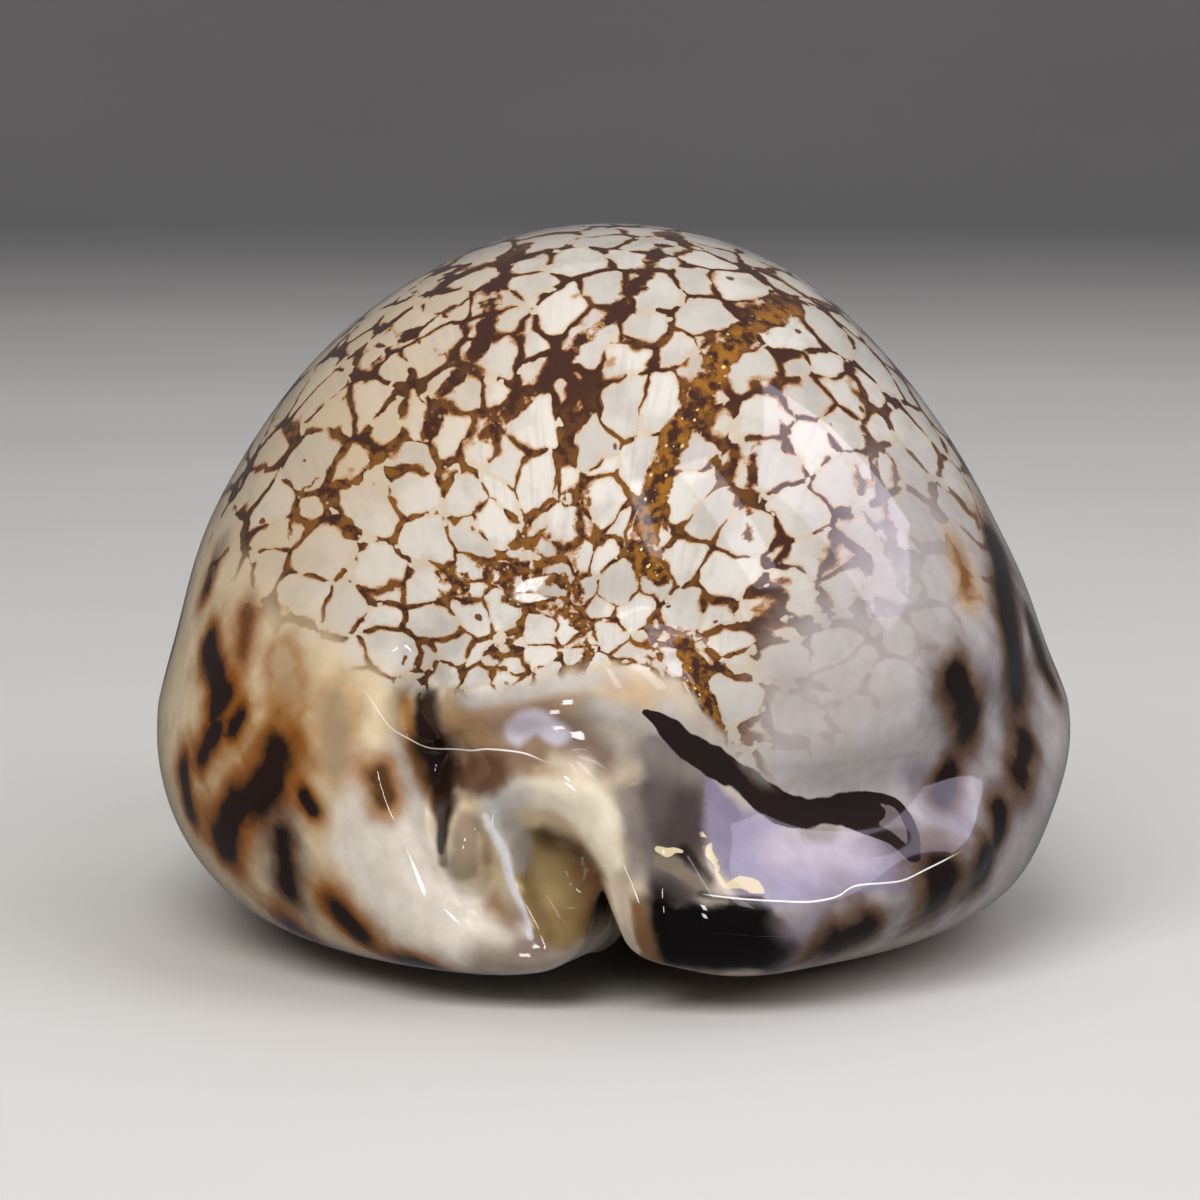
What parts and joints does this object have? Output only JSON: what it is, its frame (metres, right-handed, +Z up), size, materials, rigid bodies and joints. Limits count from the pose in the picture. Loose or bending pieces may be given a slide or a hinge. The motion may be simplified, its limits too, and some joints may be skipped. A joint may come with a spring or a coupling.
{
  "type": "cowrie shell",
  "caption": "Glossy domed cowrie shell lying on its flat base, with a long toothed aperture underneath, a curled canal at the back end and a netted brown pattern over the back.",
  "frame": {"origin": "on the plane the shell rests on, under the middle of its bounding box", "axes": "+Y along the shell towards its front (anterior) end, +X towards the outer lip, +Z up through the top of the back"},
  "size_m": [0.0414, 0.0614, 0.0313],
  "materials": {
    "glazed_shell": "natural porcelain-like glaze: cream with a dark brown net over the back and blurred near-black spots along the sides"
  },
  "bodies": {
    "root": {"shell": "glazed_shell"}
  },
  "joints": []
}
